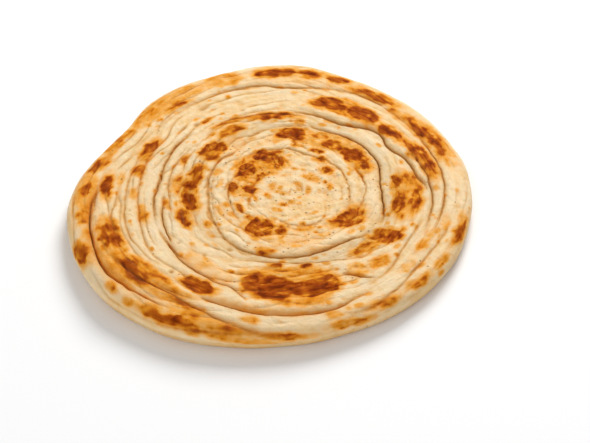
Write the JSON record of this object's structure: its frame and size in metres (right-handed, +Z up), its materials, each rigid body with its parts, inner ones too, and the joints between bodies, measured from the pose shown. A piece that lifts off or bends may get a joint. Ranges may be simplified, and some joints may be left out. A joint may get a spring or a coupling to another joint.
{
  "type": "paratha flatbread",
  "caption": "Round layered flatbread of coiled dough, flat underneath, with raised folds, a rounded rim and browned patches",
  "frame": {"origin": "centre of the flat underside, below the centre of the bounding box", "axes": "+Z up through the bread's thickness; +X to the right and +Y away from the viewer, as the bread is shown lying on its plate"},
  "size_m": [0.1984, 0.203, 0.0134],
  "materials": {
    "baked_dough": "matte"
  },
  "bodies": {
    "root": {"paratha": "baked_dough"}
  },
  "joints": []
}
